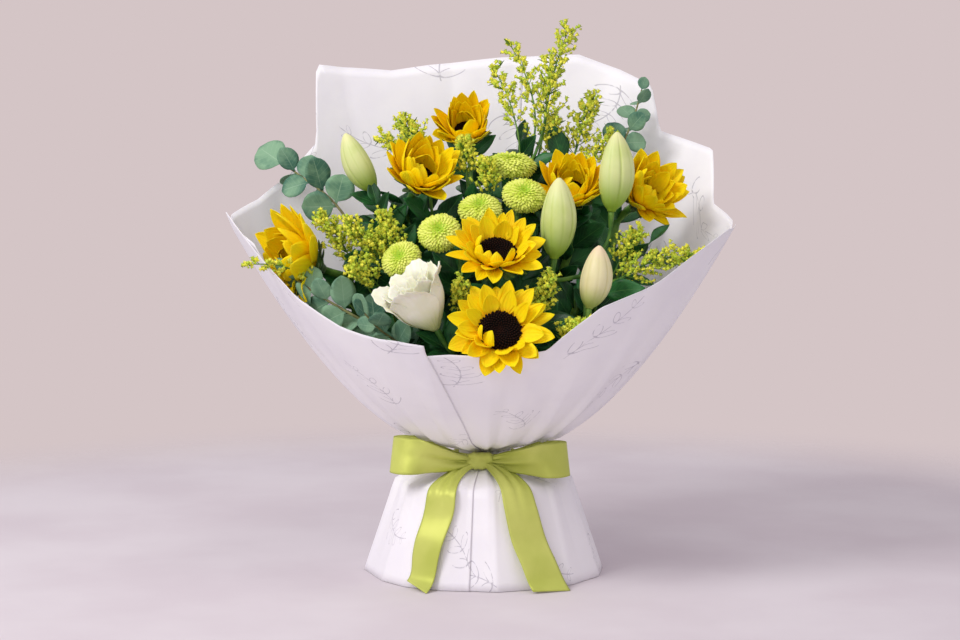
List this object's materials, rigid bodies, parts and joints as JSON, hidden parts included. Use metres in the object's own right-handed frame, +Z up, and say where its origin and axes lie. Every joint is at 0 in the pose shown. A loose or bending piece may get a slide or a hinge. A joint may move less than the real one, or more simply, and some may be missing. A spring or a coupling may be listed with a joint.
{
  "type": "bunch of sunflowers",
  "caption": "Hand-tied bunch of sunflowers with lily buds, button chrysanthemums, goldenrod and eucalyptus in a flared paper wrap with a satin bow, standing on its paper skirt.",
  "frame": {"origin": "centre of the middle stem's level cut end, on the surface that the bunch stands on", "axes": "+Z up, -Y towards the front of the bunch with the bow, +X to the right seen from the front"},
  "size_m": [0.4708, 0.3616, 0.5078],
  "materials": {
    "printed_paper": "matte off-white florist paper with a pale grey printed pattern",
    "satin_ribbon": "lime green satin with a soft sheen",
    "sunflower_petals": "golden yellow petals, matte and slightly translucent",
    "sunflower_disc": "dark maroon brown florets, velvety",
    "green_stems": "fresh green plant tissue",
    "lime_chrysanthemum": "lime green petals",
    "lily_buds": "pale green waxy buds",
    "cream_lisianthus": "cream white petals, green at the base",
    "goldenrod": "small yellow green buds on thin stems",
    "eucalyptus": "matte blue grey green leaves",
    "dark_leaves": "dark green glossy leaves"
  },
  "bodies": {
    "root": {"chrysanthemum_left": "lime_chrysanthemum", "chrysanthemum_low_left": "lime_chrysanthemum", "chrysanthemum_middle": "lime_chrysanthemum", "chrysanthemum_right": "lime_chrysanthemum", "chrysanthemum_stem_a": "green_stems", "chrysanthemum_stem_b": "green_stems", "chrysanthemum_stem_c": "green_stems", "chrysanthemum_top": "lime_chrysanthemum", "eucalyptus_front_left": "eucalyptus", "eucalyptus_left_back": "eucalyptus", "eucalyptus_left_low": "eucalyptus", "eucalyptus_right_back": "eucalyptus", "goldenrod_centre": "goldenrod", "goldenrod_front": "goldenrod", "goldenrod_left": "goldenrod", "goldenrod_left_back": "goldenrod", "goldenrod_right": "goldenrod", "goldenrod_right_back": "goldenrod", "goldenrod_tall": "goldenrod", "leaves_back": "dark_leaves", "leaves_left": "dark_leaves", "leaves_right": "dark_leaves", "lily_bud_left": "lily_buds", "lily_bud_low": "lily_buds", "lily_bud_middle": "lily_buds", "lily_bud_tall": "lily_buds", "lily_stem_left": "green_stems", "lily_stem_right": "green_stems", "lisianthus_petals": "cream_lisianthus", "lisianthus_stem": "green_stems", "paper_sheet_back_left": "printed_paper", "paper_sheet_back_right": "printed_paper", "paper_sheet_front_left": "printed_paper", "paper_sheet_front_right": "printed_paper", "ribbon_band_and_knot": "satin_ribbon", "ribbon_loop_left": "satin_ribbon", "ribbon_loop_right": "satin_ribbon", "ribbon_tail_left": "satin_ribbon", "ribbon_tail_right": "satin_ribbon", "sunflower_centre_disc": "sunflower_disc", "sunflower_centre_petals": "sunflower_petals", "sunflower_centre_stem_and_calyx": "green_stems", "sunflower_front_disc": "sunflower_disc", "sunflower_front_petals": "sunflower_petals", "sunflower_front_stem_and_calyx": "green_stems", "sunflower_left_disc": "sunflower_disc", "sunflower_left_petals": "sunflower_petals", "sunflower_left_stem_and_calyx": "green_stems", "sunflower_right_disc": "sunflower_disc", "sunflower_right_of_centre_disc": "sunflower_disc", "sunflower_right_of_centre_petals": "sunflower_petals", "sunflower_right_of_centre_stem_and_calyx": "green_stems", "sunflower_right_petals": "sunflower_petals", "sunflower_right_stem_and_calyx": "green_stems", "sunflower_top_disc": "sunflower_disc", "sunflower_top_petals": "sunflower_petals", "sunflower_top_stem_and_calyx": "green_stems", "sunflower_upper_left_disc": "sunflower_disc", "sunflower_upper_left_petals": "sunflower_petals", "sunflower_upper_left_stem_and_calyx": "green_stems"}
  },
  "joints": []
}
